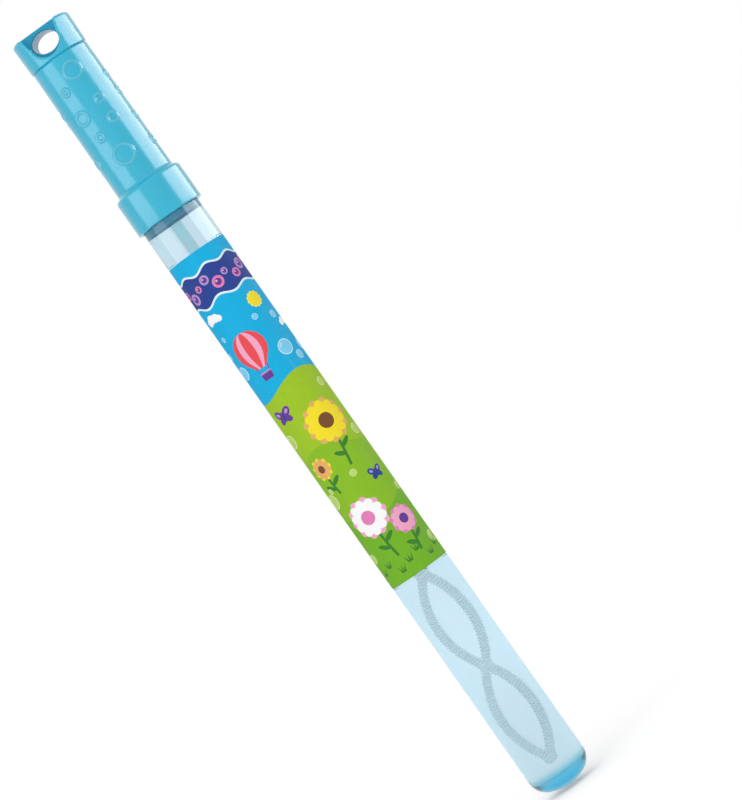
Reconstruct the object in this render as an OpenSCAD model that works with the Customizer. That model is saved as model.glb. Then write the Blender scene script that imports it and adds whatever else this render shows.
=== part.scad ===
// Bubble wand: a clear tube for bubble solution with a screw cap that is also the handle.
// The chain of loops hangs from a stopper in the cap, and leaves the tube with it.
// Millimetres, +Z along the tube with the handle up. The origin is the lowest point of the base.
// The hang eye and the loops face the front, which is -Y.

/* [Tube] */
// Outer diameter of the clear tube
tube_d = 26; // [24:0.5:30]
// Wall of the clear tube
tube_wall = 1; // [0.8:0.1:1.3]
// Height of the tube from its base to the shoulder under the neck
tube_h = 276; // [230:1:320]
// Radius of the rounded edge of the base
base_edge_r = 8; // [6:0.5:10]
// Radius of the shallow crown in the middle of the base
base_crown_r = 20; // [18:0.5:40]
// Thickness of the base in its middle
base_t = 3.4; // [2:0.1:5]
// Radius of the bowl inside the base
base_bowl_r = 17.4; // [15:0.1:24]

/* [Neck and thread] */
// Height of the neck above the shoulder
neck_h = 11.5; // [10:0.5:16]
// How far the neck steps in from the tube, and how far its thread stands out
neck_step = 0.8; // [0.6:0.1:1]
// Rise of the thread in one turn
thread_lead = 4; // [3.5:0.25:4.5]
// Turns of the thread
thread_turns = 1.25; // [1:0.25:1.5]
// Width of a thread ridge at its foot
thread_foot = 1.4; // [1.2:0.1:1.6]
// Width of a thread ridge at its crest
thread_crest = 0.6; // [0.4:0.1:0.8]
// Height of plain neck above the thread
thread_lip = 1.8; // [1.4:0.1:2.4]

/* [Label] */
// Height of the printed wrap
label_h = 154; // [100:1:180]
// Bare tube between the collar and the wrap
label_drop = 17.5; // [8:0.5:40]
// Thickness of the wrap
label_t = 0.15; // [0.1:0.05:0.3]
// Width of the open seam at the back of the wrap
label_seam = 1.2; // [0.5:0.1:4]
// Bare panel above and below the wrap
label_margin = 0.5; // [0.2:0.1:2]

/* [Seal and stopper] */
// Thickness of the soft seal ring
seal_t = 1.5; // [1:0.1:2]
// Thickness of the stopper's flange
flange_t = 1.8; // [1.4:0.1:2.4]
// Height of the barrel that turns in the handle
barrel_h = 12; // [8:0.5:16]
// Wall of the barrel
barrel_wall = 1.2; // [1:0.1:1.6]
// Wall of the skirt that plugs the neck
skirt_wall = 1.1; // [0.9:0.1:1.4]
// How far the skirt shows under the collar
skirt_show = 2.6; // [1.5:0.1:5]
// Wall of the boss that holds the wand
boss_wall = 1.6; // [1.2:0.1:2.2]

/* [Wand] */
// Number of loops in the chain
loop_count = 5; // [3:1:6]
// Outer width of a loop
loop_w = 14.8; // [12:0.1:15]
// Width of a strand
strand_w = 3.3; // [2.4:0.1:3.6]
// Thickness of the flat wand
wand_t = 2.8; // [2:0.1:3.6]
// Height of the stem between the loops and the stopper
stem_h = 54.3; // [44:0.1:64]
// Width of the stem at the stopper
stem_w = 3.6; // [3.3:0.1:5]
// Space between the last loop and the foot of the tube
tip_gap = 11; // [6:0.5:20]
// Diameter of the peg in the stopper's boss
peg_d = 5; // [4:0.1:6]
// Length of the peg
peg_h = 8; // [5:0.5:9]

/* [Handle] */
// Outer diameter of the collar
collar_d = 29.8; // [29.6:0.1:36]
// How far the collar reaches down over the tube
collar_overlap = 1; // [0.5:0.1:4]
// Diameter of the grip at the collar
grip_low_d = 25.5; // [25:0.1:29]
// Diameter of the grip under the eye
grip_top_d = 25; // [24.4:0.1:28]
// Height of the grip
grip_h = 58.8; // [40:0.2:80]
// Wall of the grip at its top
grip_wall = 1.8; // [1.4:0.1:2.4]
// Floor between the hollow grip and the eye
eye_floor = 2.4; // [1.6:0.1:4]

/* [Eye] */
// Diameter at the top of the block that carries the hang eye
eye_block_d = 26.4; // [26:0.1:31]
// Diameter at the foot of the block
eye_foot_d = 25.8; // [25.6:0.1:30]
// Height of the block
eye_block_h = 13.8; // [13:0.1:20]
// Rounding of the block's top edge
eye_round = 1.4; // [0.6:0.1:2]
// Diameter of the hang eye
eye_d = 8.4; // [7:0.1:9.4]
// Height of the eye's middle above the foot of the block
eye_rise = 7.6; // [7:0.1:8]
// Thickness of the web round the eye
eye_web = 14; // [6:0.5:16]
// Width of the pockets at the top
pocket_w = 15.8; // [13.5:0.1:17]
// Ledge between the eye and the foot of the pockets
pocket_ledge = 2; // [0.8:0.1:2.2]

/* [Raised bubbles] */
// How far the raised rings stand out of the grip
bubble_rise = 0.45; // [0.3:0.05:0.8]
// Width of a raised ring
bubble_line = 0.9; // [0.7:0.1:1.2]
// Diameter of the largest ring
bubble_d = 10; // [8:0.1:11]

/* [Fits] */
// Radial gap between the collar and the tube, and between thread crests and roots
thread_gap = 0.25; // [0.2:0.05:0.35]
// Gap between thread flanks
flank_gap = 0.2; // [0.15:0.05:0.3]
// Gap between the stopper and the handle that turns on it
running_gap = 0.05; // [0.03:0.01:0.1]
// Gap between the skirt and the seal ring
seal_gap = 0.15; // [0.1:0.05:0.25]
// Gap between the seal stop and the neck
stop_gap = 0.2; // [0.15:0.05:0.3]
// Gap between the skirt and the neck
skirt_gap = 0.6; // [0.55:0.05:0.8]
// Gap between the peg and its socket, and between the wrap and the tube
snug_gap = 0.02; // [0.01:0.01:0.05]

/* [Hidden] */
$fn = 96;
// Distance by which cuts run past the faces that they open
overrun = 1;
// Depth by which a ridge is rooted in the wall that carries it
root = 0.4;
// Straight stretches in each arc of a profile
arc_steps = 10;
// Rings of points in one turn of a thread, and those over which its ends run out
turn_steps = 36;
runout_steps = 6;
// Height of the rounded lower edge of the collar, and of the block's lower edge
collar_edge = 0.5;
eye_edge = 0.3;
// Height of the snap bead on the barrel, and how far it stands out
bead_h = 1.6;
bead_rise = 0.35;
// Height of the ring on the skirt that keeps the seal
stop_h = 1;
// Radius of the solid middle of each crossing, and of the rounded end of the chain
crossing_r = 2.2;

tube_r = tube_d / 2;
bore_r = tube_r - tube_wall;
neck_r = tube_r - neck_step;
neck_bore_r = neck_r - tube_wall;
rim_z = tube_h + neck_h;
edge_x = tube_r - base_edge_r;
edge_z = base_crown_r - sqrt(pow(base_crown_r - base_edge_r, 2) - pow(edge_x, 2));
edge_angle = atan2(edge_x, base_crown_r - edge_z);
bowl_angle = asin(bore_r / base_bowl_r);
lift_h = thread_lead * thread_turns;
thread_z = rim_z - thread_lip - thread_foot / 2 - lift_h;

collar_r = collar_d / 2;
collar_bore_r = tube_r + thread_gap;
collar_rim_z = tube_h - collar_overlap;
cap_crest_r = neck_r + thread_gap;
cap_thread_z = thread_z - (thread_foot + thread_crest) / 2 - flank_gap;
grip_low_r = grip_low_d / 2;
grip_top_r = grip_top_d / 2;
grip_bore_r = grip_top_r - grip_wall;
flange_z = rim_z + seal_t;
ceiling_z = flange_z + flange_t + running_gap;
shoulder_r = collar_r - grip_low_r;
grip_z = ceiling_z + shoulder_r;
eye_z = grip_z + grip_h;
top_z = eye_z + eye_block_h;
eye_block_r = eye_block_d / 2;
eye_foot_r = eye_foot_d / 2;
eye_centre_z = eye_z + eye_rise;
bore_top_z = eye_z - eye_floor;

flange_r = cap_crest_r - thread_gap;
barrel_r = grip_bore_r - running_gap;
barrel_bead_z = flange_z + flange_t + barrel_h / 2;
skirt_r = neck_bore_r - skirt_gap;
seal_bore_r = skirt_r + seal_gap;
stop_r = neck_bore_r - stop_gap;
stop_z = rim_z - lift_h - seal_gap;
skirt_z = collar_rim_z - skirt_show;

tip_z = tip_gap + crossing_r;
chain_z = flange_z - stem_h;
loop_pitch = (chain_z - tip_z) / loop_count;
loop_bow = (loop_w - strand_w) / 2;
strand_r = (pow(loop_pitch / 2, 2) + pow(loop_bow, 2)) / (2 * loop_bow);
strand_x = strand_r - loop_bow;
boss_r = peg_d / 2 + boss_wall;

label_z = collar_rim_z - label_drop - label_h;
panel_r = tube_r - label_t - 2 * snug_gap;
panel_low_z = label_z - label_margin;
panel_top_z = label_z + label_h + label_margin;
label_r = panel_r + snug_gap;
label_gap_angle = 2 * asin(label_seam / 2 / label_r);

// Raised rings on the front half of the grip: the turn and height where each sits, and its size
bubble_shares = [
    [0.04, 0.862, 0.85], [-0.057, 0.76, 0.42], [0.069, 0.606, 0.5], [-0.064, 0.552, 0.68],
    [0.071, 0.45, 0.54], [-0.041, 0.38, 0.46], [0.011, 0.2, 0.94], [0.217, 0.73, 0.5],
    [0.222, 0.59, 0.54], [0.217, 0.39, 0.5], [0.217, 0.187, 0.56], [-0.183, 0.65, 0.5], [-0.173, 0.25, 0.6]
];
bubble_sectors = 2;

function arc(centre, r, from, to) = [
    for (i = [0 : arc_steps]) let (a = from + (to - from) * i / arc_steps)
        centre + r * [cos(a), sin(a)]
];
function backwards(points) = [for (i = [len(points) - 1 : -1 : 0]) points[i]];

// Outline of the rounded base from its middle to its side
base_outside = concat(
    arc([0, base_crown_r], base_crown_r, -90, edge_angle - 90),
    arc([edge_x, edge_z], base_edge_r, edge_angle - 90, 0)
);
// Outline of the bowl inside the base, from the side of the bore to its middle
base_inside = arc([0, base_t + base_bowl_r], base_bowl_r, bowl_angle - 90, -90);

// Share of a thread's full height at one of its rings, which runs out at both ends
function runout(i, last) = min(1, i / runout_steps, (last - i) / runout_steps);

// Section of a thread ridge with its foot at foot_r and its crest at crest_r
function ridge_ring(foot_r, crest_r, angle, z) = [
    for (p = [[foot_r, -thread_foot], [crest_r, -thread_crest], [crest_r, thread_crest], [foot_r, thread_foot]])
        [p[0] * cos(angle), p[0] * sin(angle), z + p[1] / 2]
];

// Helical ridge that starts at start_z and rises with the thread
module thread_ridge(foot_r, wall_r, crest_r, start_z) {
    last = round(turn_steps * thread_turns);
    sides = 4;
    points = [
        for (i = [0 : last])
            each ridge_ring(foot_r, wall_r + (crest_r - wall_r) * runout(i, last),
                i * 360 / turn_steps, start_z + i * thread_lead / turn_steps)
    ];
    walls = [
        for (i = [0 : last - 1], k = [0 : sides - 1])
            let (a = i * sides + k, b = i * sides + (k + 1) % sides)
            each [[a, b, b + sides], [a, b + sides, a + sides]]
    ];
    end = last * sides;
    ends = [[0, 2, 1], [0, 3, 2], [end, end + 1, end + 2], [end, end + 2, end + 3]];
    faces = concat(walls, ends);
    polyhedron(points, crest_r > foot_r ? [for (f = faces) backwards(f)] : faces);
}

module ring(outer_r, inner_r, z, h) {
    translate([0, 0, z]) rotate_extrude() translate([inner_r, 0]) square([outer_r - inner_r, h]);
}

// Flat shape in the plane of the loops, given a thickness about that plane
module upright(t) {
    rotate([90, 0, 0]) linear_extrude(height = t, center = true) children();
}

module lens(r) {
    intersection() {
        translate([strand_x, 0]) circle(r);
        translate([-strand_x, 0]) circle(r);
    }
}

// Outline of the stem and the chain of loops
module wand_outline() {
    half = strand_w / 2;
    intersection() {
        for (i = [0 : loop_count - 1]) translate([0, chain_z - loop_pitch * (i + 0.5)]) difference() {
            lens(strand_r + half);
            lens(strand_r - half);
        }
        translate([-loop_w, tip_z]) square([2 * loop_w, flange_z - tip_z]);
    }
    for (i = [0 : loop_count]) translate([0, chain_z - loop_pitch * i]) circle(crossing_r);
    polygon([[-half, chain_z], [half, chain_z], [stem_w / 2, flange_z], [-stem_w / 2, flange_z]]);
}

// Clear tube with a rounded base, a shallow panel for the wrap and a threaded neck
module tube() {
    color([0.82, 0.92, 0.96, 0.4]) union() {
        rotate_extrude() polygon(concat(
            base_outside,
            [[tube_r, panel_low_z], [panel_r, panel_low_z], [panel_r, panel_top_z], [tube_r, panel_top_z]],
            [[tube_r, tube_h], [neck_r, tube_h + neck_step], [neck_r, rim_z]],
            [[neck_bore_r, rim_z], [neck_bore_r, tube_h + neck_step], [bore_r, tube_h]],
            base_inside
        ));
        thread_ridge(neck_r - root, neck_r, tube_r, thread_z);
    }
}

// Printed wrap round the middle of the tube, open at the back by its seam
module label() {
    color([0.30, 0.68, 0.55]) rotate([0, 0, 90 + label_gap_angle / 2])
        rotate_extrude(angle = 360 - label_gap_angle)
            translate([label_r, label_z]) square([label_t, label_h]);
}

// Soft washer between the neck and the stopper
module seal_ring() {
    color([0.93, 0.94, 0.95]) ring(flange_r, seal_bore_r, rim_z, seal_t);
}

// Stopper that carries the wand, turns in the handle and keeps the seal ring
module stopper() {
    color([0.13, 0.52, 0.76]) difference() {
        union() {
            translate([0, 0, flange_z]) cylinder(r = flange_r, h = flange_t);
            ring(barrel_r, barrel_r - barrel_wall, flange_z, flange_t + barrel_h);
            barrel_bead(0);
            translate([0, 0, flange_z]) cylinder(r = boss_r, h = flange_t + peg_h);
            ring(skirt_r, skirt_r - skirt_wall, skirt_z, flange_z - skirt_z + flange_t / 2);
            ring(stop_r, skirt_r - skirt_wall, stop_z - stop_h, stop_h);
        }
        translate([0, 0, flange_z - overrun]) cylinder(d = peg_d, h = peg_h + snug_gap + overrun);
    }
}

// Snap bead round the barrel, or with a gap the groove that it turns in
module barrel_bead(gap) {
    rotate_extrude() polygon([
        [barrel_r - root, barrel_bead_z - bead_h / 2 - gap],
        [barrel_r + gap, barrel_bead_z - bead_h / 2 - gap],
        [barrel_r + gap + bead_rise, barrel_bead_z],
        [barrel_r + gap, barrel_bead_z + bead_h / 2 + gap],
        [barrel_r - root, barrel_bead_z + bead_h / 2 + gap]
    ]);
}

// Flat wand: a peg, a stem that narrows downward and a chain of crossed loops
module wand() {
    color([0.92, 0.93, 0.95, 0.8]) union() {
        upright(wand_t) wand_outline();
        translate([0, 0, flange_z - root]) cylinder(d = peg_d - 2 * snug_gap, h = peg_h + root);
    }
}

// Outline of the handle's outside, from the foot of the collar to the middle of its top
function handle_outside() = concat(
    [[collar_r - collar_edge, collar_rim_z], [collar_r, collar_rim_z + collar_edge]],
    arc([grip_low_r, ceiling_z], shoulder_r, 0, 90),
    [[grip_top_r, eye_z], [eye_foot_r - eye_edge, eye_z], [eye_foot_r, eye_z + eye_edge]],
    arc([eye_block_r - eye_round, top_z - eye_round], eye_round, 0, 90),
    [[0, top_z]]
);

// Raised rings on the grip
module bubbles() {
    intersection() {
        rotate_extrude() polygon([
            [grip_low_r - root, grip_z], [grip_low_r + bubble_rise, grip_z],
            [grip_top_r + bubble_rise, eye_z], [grip_top_r - root, eye_z]
        ]);
        for (i = [0 : bubble_sectors - 1], b = bubble_shares) let (r = bubble_d * b[2] / 2)
            rotate([0, 0, (b[0] + i / bubble_sectors) * 360])
                translate([0, 0, grip_z + grip_h * b[1]]) rotate([90, 0, 0])
                    ring(r, r - bubble_line, grip_bore_r, collar_r - grip_bore_r);
    }
}

// Outline of a pocket beside the eye, open at the top of the block
module pocket_outline() {
    foot_r = eye_d / 2 + pocket_ledge;
    translate([0, eye_centre_z]) circle(foot_r);
    polygon([
        [-foot_r, eye_centre_z], [foot_r, eye_centre_z],
        [pocket_w / 2, top_z + overrun], [-pocket_w / 2, top_z + overrun]
    ]);
}

// Hollow handle with the threaded collar at its foot and the hang eye at its top
module handle() {
    color([0.27, 0.74, 0.87]) union() {
        difference() {
            rotate_extrude() polygon(concat(
                handle_outside(),
                [[0, bore_top_z], [grip_bore_r, bore_top_z], [grip_bore_r, ceiling_z]],
                [[collar_bore_r, ceiling_z], [collar_bore_r, collar_rim_z]]
            ));
            barrel_bead(running_gap);
            upright(eye_block_d + 2 * overrun) translate([0, eye_centre_z]) circle(d = eye_d);
            for (side = [0, 1]) mirror([0, side, 0])
                translate([0, -eye_web / 2 - eye_block_r / 2, 0]) upright(eye_block_r) pocket_outline();
        }
        thread_ridge(collar_bore_r + root, collar_bore_r, cap_crest_r, cap_thread_z);
        bubbles();
    }
}

tube();
label();
seal_ring();
stopper();
wand();
handle();
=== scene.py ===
"""Bubble wand: a clear tube of bubble solution closed by a screw cap that is also the grip.

Sizes are in millimetres until a mesh is made. Heights count up from the foot of the tube, the
front faces -Y, and a turn counts from the front towards +X.
"""

import logging
import math
from dataclasses import dataclass, field
from enum import Enum
from typing import Callable, Dict, List, Optional, Sequence, Tuple

import bmesh
import bpy
import numpy as np
from mathutils import Matrix, Vector
from mathutils.geometry import delaunay_2d_cdt


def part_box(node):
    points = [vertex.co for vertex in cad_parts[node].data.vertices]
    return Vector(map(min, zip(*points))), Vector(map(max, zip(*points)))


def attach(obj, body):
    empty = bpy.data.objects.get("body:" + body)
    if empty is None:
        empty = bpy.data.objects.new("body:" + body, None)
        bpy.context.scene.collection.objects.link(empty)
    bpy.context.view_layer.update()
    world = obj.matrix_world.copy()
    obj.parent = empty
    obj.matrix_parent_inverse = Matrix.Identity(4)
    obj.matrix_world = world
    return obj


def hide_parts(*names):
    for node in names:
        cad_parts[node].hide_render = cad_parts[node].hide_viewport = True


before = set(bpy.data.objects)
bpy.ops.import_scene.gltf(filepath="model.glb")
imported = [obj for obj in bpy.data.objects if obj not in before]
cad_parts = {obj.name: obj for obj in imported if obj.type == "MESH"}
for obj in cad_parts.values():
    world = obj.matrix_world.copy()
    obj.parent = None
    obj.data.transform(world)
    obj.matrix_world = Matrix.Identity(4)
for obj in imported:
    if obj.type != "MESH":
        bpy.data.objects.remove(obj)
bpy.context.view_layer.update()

LOG = logging.getLogger("bubble_wand")
MM = 0.001
TAU = 2 * math.pi

Point = Tuple[float, float]
Colour = Tuple[float, float, float, float]
Field = Callable[[np.ndarray, np.ndarray, np.ndarray], np.ndarray]


def tint(red: int, green: int, blue: int) -> Colour:
    """Scene colour of a screen colour given in steps of 0 to 255."""
    def channel(step: int) -> float:
        share = step / 255
        return share / 12.92 if share <= 0.04045 else ((share + 0.055) / 1.055) ** 2.4
    return channel(red), channel(green), channel(blue), 1.0


def arc(centre: Point, radius: float, start: float, end: float, steps: int = 10) -> List[Point]:
    """Points along an arc.

    Args:
        centre: middle of the arc.
        radius: radius of the arc.
        start: angle of the first point, in degrees.
        end: angle of the last point, in degrees.
        steps: straight stretches in the arc.

    Returns:
        The points in order.
    """
    angles = np.radians(np.linspace(start, end, steps + 1))
    return [(centre[0] + radius * math.cos(a), centre[1] + radius * math.sin(a)) for a in angles]


class Shell:
    """Points, in millimetres, and faces of closed surfaces."""

    def __init__(self) -> None:
        """Start with nothing."""
        self.points: List[Sequence[float]] = []
        self.faces: List[Sequence[int]] = []

    def add(self, points: Sequence[Sequence[float]]) -> int:
        """Add points and return the number of the first."""
        first = len(self.points)
        self.points.extend(points)
        return first

    def mesh(self, name: str) -> bpy.types.Mesh:
        """Make a mesh in metres with its faces turned outward.

        Args:
            name: name of the mesh.

        Returns:
            The mesh.
        """
        mesh = bpy.data.meshes.new(name)
        mesh.from_pydata((np.array(self.points) * MM).tolist(), [], self.faces)
        work = bmesh.new()
        work.from_mesh(mesh)
        bmesh.ops.recalc_face_normals(work, faces=work.faces)
        work.to_mesh(mesh)
        work.free()
        return mesh


def revolve(profile: Sequence[Point], segments: int, relief: Optional[np.ndarray] = None) -> Shell:
    """Turn a profile round the axis of the tube.

    Args:
        profile: radius and height of each point, from the axis back to the axis.
        segments: steps round the axis.
        relief: how far each point of each ring stands out, one row for each profile point.

    Returns:
        A closed surface.
    """
    shell = Shell()
    turns = np.arange(segments) * TAU / segments
    sines, cosines = np.sin(turns), -np.cos(turns)
    step = np.arange(segments)
    after = (step + 1) % segments
    last: Optional[np.ndarray] = None
    for row, (radius, height) in enumerate(profile):
        if radius < 1e-6:
            ring = np.full(segments, shell.add([(0.0, 0.0, height)]))
        else:
            reach = radius + (relief[row] if relief is not None else 0.0) + np.zeros(segments)
            rows = np.stack([reach * sines, reach * cosines, np.full(segments, height)], 1)
            ring = shell.add(rows.tolist()) + step
        if last is not None:
            if last[0] == last[1]:
                faces = np.stack([last, ring[after], ring], 1)
            elif ring[0] == ring[1]:
                faces = np.stack([last, last[after], ring], 1)
            else:
                faces = np.stack([last, last[after], ring[after], ring], 1)
            shell.faces.extend(faces.tolist())
        last = ring
    return shell


def gradient(distance: Field, points: np.ndarray, step: float) -> np.ndarray:
    """Slope of a distance field at points, taken over a step both ways."""
    return np.stack([
        (distance(*(points + step * axis).T) - distance(*(points - step * axis).T)) / (2 * step)
        for axis in np.eye(3)], 1)


def skin(distance: Field, low: Sequence[float], high: Sequence[float], cell: float) -> Shell:
    """Closed surface where a distance field is zero.

    Args:
        distance: distance to the surface at points x, y, z, negative inside.
        low: lowest corner of the box to search.
        high: highest corner of the box.
        cell: size of the cells, each of which gives one point.

    Returns:
        The surface, with its points moved onto the field's zero.
    """
    axes = [np.arange(a, b + cell, cell) for a, b in zip(low, high)]
    values = distance(*np.meshgrid(*axes, indexing="ij"))
    inside = values < 0
    shape = tuple(n - 1 for n in values.shape)
    total = np.zeros(shape + (3,), np.float32)
    count = np.zeros(shape, np.float32)
    for axis in range(3):
        others = [k for k in range(3) if k != axis]
        for shift in np.ndindex(2, 2):
            near = [slice(0, n) for n in shape]
            for k, s in zip(others, shift):
                near[k] = slice(s, s + shape[k])
            far = list(near)
            far[axis] = slice(1, shape[axis] + 1)
            a, b = values[tuple(near)], values[tuple(far)]
            cut = inside[tuple(near)] != inside[tuple(far)]
            share = np.where(cut, a / np.where(cut, a - b, 1), 0)
            count += cut
            total[..., axis] += share
            for k, s in zip(others, shift):
                total[..., k] += cut * s
    used = count > 0
    number = np.full(shape, -1)
    number[used] = np.arange(used.sum())
    place = np.argwhere(used) + total[used] / count[used][:, None]
    points = np.array(low) + place * cell
    shell = Shell()
    for axis in range(3):
        a, b = [k for k in range(3) if k != axis]
        near = [slice(1, n) for n in shape]
        near[axis] = slice(0, shape[axis])
        far = list(near)
        far[axis] = slice(1, shape[axis] + 1)
        cut = np.argwhere(inside[tuple(near)] != inside[tuple(far)])
        if not len(cut):
            continue
        corners = []
        for da, db in ((0, 0), (1, 0), (1, 1), (0, 1)):
            at = cut.copy()
            at[:, a] += da
            at[:, b] += db
            corners.append(number[tuple(at.T)])
        shell.faces.extend(np.stack(corners, 1).tolist())
    for _ in range(5):
        slope = gradient(distance, points, cell * 0.05)
        steepness = np.maximum((slope ** 2).sum(1), 0.05)[:, None]
        move = distance(*points.T)[:, None] * slope / steepness
        points = points - np.clip(move, -cell / 2, cell / 2)
    shell.add(points.tolist())
    return shell


def fuse(name: str, shells: Sequence[Shell]) -> bpy.types.Mesh:
    """Join closed surfaces that run into each other into one mesh with nothing left inside.

    Args:
        name: name of the mesh.
        shells: the surfaces, the main one first.

    Returns:
        One closed mesh.
    """
    made = [bpy.data.objects.new(f"{name}_{i}", shell.mesh(f"{name}_{i}"))
            for i, shell in enumerate(shells)]
    for thing in made:
        bpy.context.scene.collection.objects.link(thing)
    for other in made[1:]:
        join = made[0].modifiers.new(other.name, "BOOLEAN")
        join.operation, join.solver, join.object = "UNION", "MANIFOLD", other
    graph = bpy.context.evaluated_depsgraph_get()
    mesh = bpy.data.meshes.new_from_object(made[0].evaluated_get(graph))
    mesh.name = name
    for thing in made:
        old = thing.data
        bpy.data.objects.remove(thing)
        bpy.data.meshes.remove(old)
    return mesh


def place(name: str, mesh: bpy.types.Mesh, crease: float, finish: bpy.types.Material) -> bpy.types.Object:
    """Put a mesh in the scene with smooth faces.

    Args:
        name: name of the piece.
        mesh: its mesh.
        crease: angle in degrees above which an edge stays sharp.
        finish: its material.

    Returns:
        The piece.
    """
    mesh.polygons.foreach_set("use_smooth", [True] * len(mesh.polygons))
    mesh.set_sharp_from_angle(angle=math.radians(crease))
    mesh.materials.clear()
    mesh.materials.append(finish)
    piece = bpy.data.objects.new(name, mesh)
    bpy.context.scene.collection.objects.link(piece)
    LOG.info("%s: %d points, %d faces", name, len(mesh.vertices), len(mesh.polygons))
    return piece


def refinish(node: str, finish: bpy.types.Material) -> None:
    """Give its finish to a CAD node that shows as it is."""
    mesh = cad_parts[node].data
    mesh.materials.clear()
    mesh.materials.append(finish)
    LOG.info("%s: finish set", node)


def coordinates(mesh: bpy.types.Mesh) -> np.ndarray:
    """Points of a mesh in millimetres, one row each."""
    return np.array([v.co[:] for v in mesh.vertices]) / MM


def mark(mesh: bpy.types.Mesh, name: str, values: np.ndarray) -> None:
    """Write a value for each point of a mesh under a name."""
    kept = mesh.attributes.new(name, "FLOAT", "POINT")
    kept.data.foreach_set("value", values.astype(np.float32))


class Graph:
    """Nodes of a material or a group, made and joined by name."""

    def __init__(self, tree: bpy.types.NodeTree) -> None:
        """Work on a tree."""
        self.tree = tree

    def node(self, kind: str, inputs: Optional[Dict[object, object]] = None,
             **settings: object) -> bpy.types.Node:
        """Make a node.

        Args:
            kind: its type.
            inputs: values for its sockets; a socket given as a value is linked.
            settings: its own settings.

        Returns:
            The node.
        """
        made = self.tree.nodes.new(kind)
        for key, value in settings.items():
            setattr(made, key, value)
        for key, value in (inputs or {}).items():
            socket = made.inputs[key]
            if isinstance(value, bpy.types.NodeSocket):
                self.link(value, socket)
            else:
                socket.default_value = value
        return made

    def group(self, tree: bpy.types.NodeTree, inputs: Dict[str, object]) -> bpy.types.Node:
        """Place a node group with its own values; a socket given as a value is linked."""
        return self.node("ShaderNodeGroup", inputs, node_tree=tree)

    def link(self, source: bpy.types.NodeSocket, target: bpy.types.NodeSocket) -> None:
        """Link an output to an input."""
        self.tree.links.new(source, target)

    def mix(self, share: object, first: object, second: object) -> bpy.types.NodeSocket:
        """Mix of two colours by the share of the second."""
        return self.node("ShaderNodeMix", {0: share, 6: first, 7: second}, data_type="RGBA").outputs[2]

    def mask(self, name: str) -> bpy.types.NodeSocket:
        """Values that a mesh holds under a name."""
        return self.node("ShaderNodeAttribute", None, attribute_name=name).outputs["Fac"]

    def where(self) -> bpy.types.NodeSocket:
        """Place on the object, in metres."""
        return self.node("ShaderNodeTexCoord").outputs["Object"]

    def noise(self, where: bpy.types.NodeSocket, scale: object, detail: float,
              roughness: float = 0.5) -> bpy.types.NodeSocket:
        """Cloudy value at a place."""
        return self.node("ShaderNodeTexNoise", {
            "Vector": where, "Scale": scale, "Detail": detail, "Roughness": roughness}).outputs["Fac"]

    def spread(self, value: object, low: float, high: float) -> bpy.types.NodeSocket:
        """Value spread from a range over 0 to 1."""
        return self.node("ShaderNodeMapRange", {
            "Value": value, "From Min": low, "From Max": high}).outputs["Result"]

    def value(self, operation: str, a: object, b: object = 0.0) -> bpy.types.NodeSocket:
        """Result of a sum on two values."""
        return self.node("ShaderNodeMath", {0: a, 1: b}, operation=operation).outputs[0]


def new_group(name: str, inputs: Dict[str, object],
              outputs: Dict[str, str]) -> Tuple[Graph, bpy.types.Node, bpy.types.Node]:
    """Start a node group.

    Args:
        name: name of the group.
        inputs: its inputs with their first values; four numbers make a colour.
        outputs: its outputs with their socket types.

    Returns:
        The graph, its input node and its output node.
    """
    tree = bpy.data.node_groups.new(name, "ShaderNodeTree")
    for label, value in inputs.items():
        kind = "NodeSocketColor" if isinstance(value, tuple) else "NodeSocketFloat"
        tree.interface.new_socket(name=label, in_out="INPUT", socket_type=kind).default_value = value
    for label, kind in outputs.items():
        tree.interface.new_socket(name=label, in_out="OUTPUT", socket_type=kind)
    return Graph(tree), tree.nodes.new("NodeGroupInput"), tree.nodes.new("NodeGroupOutput")


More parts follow.
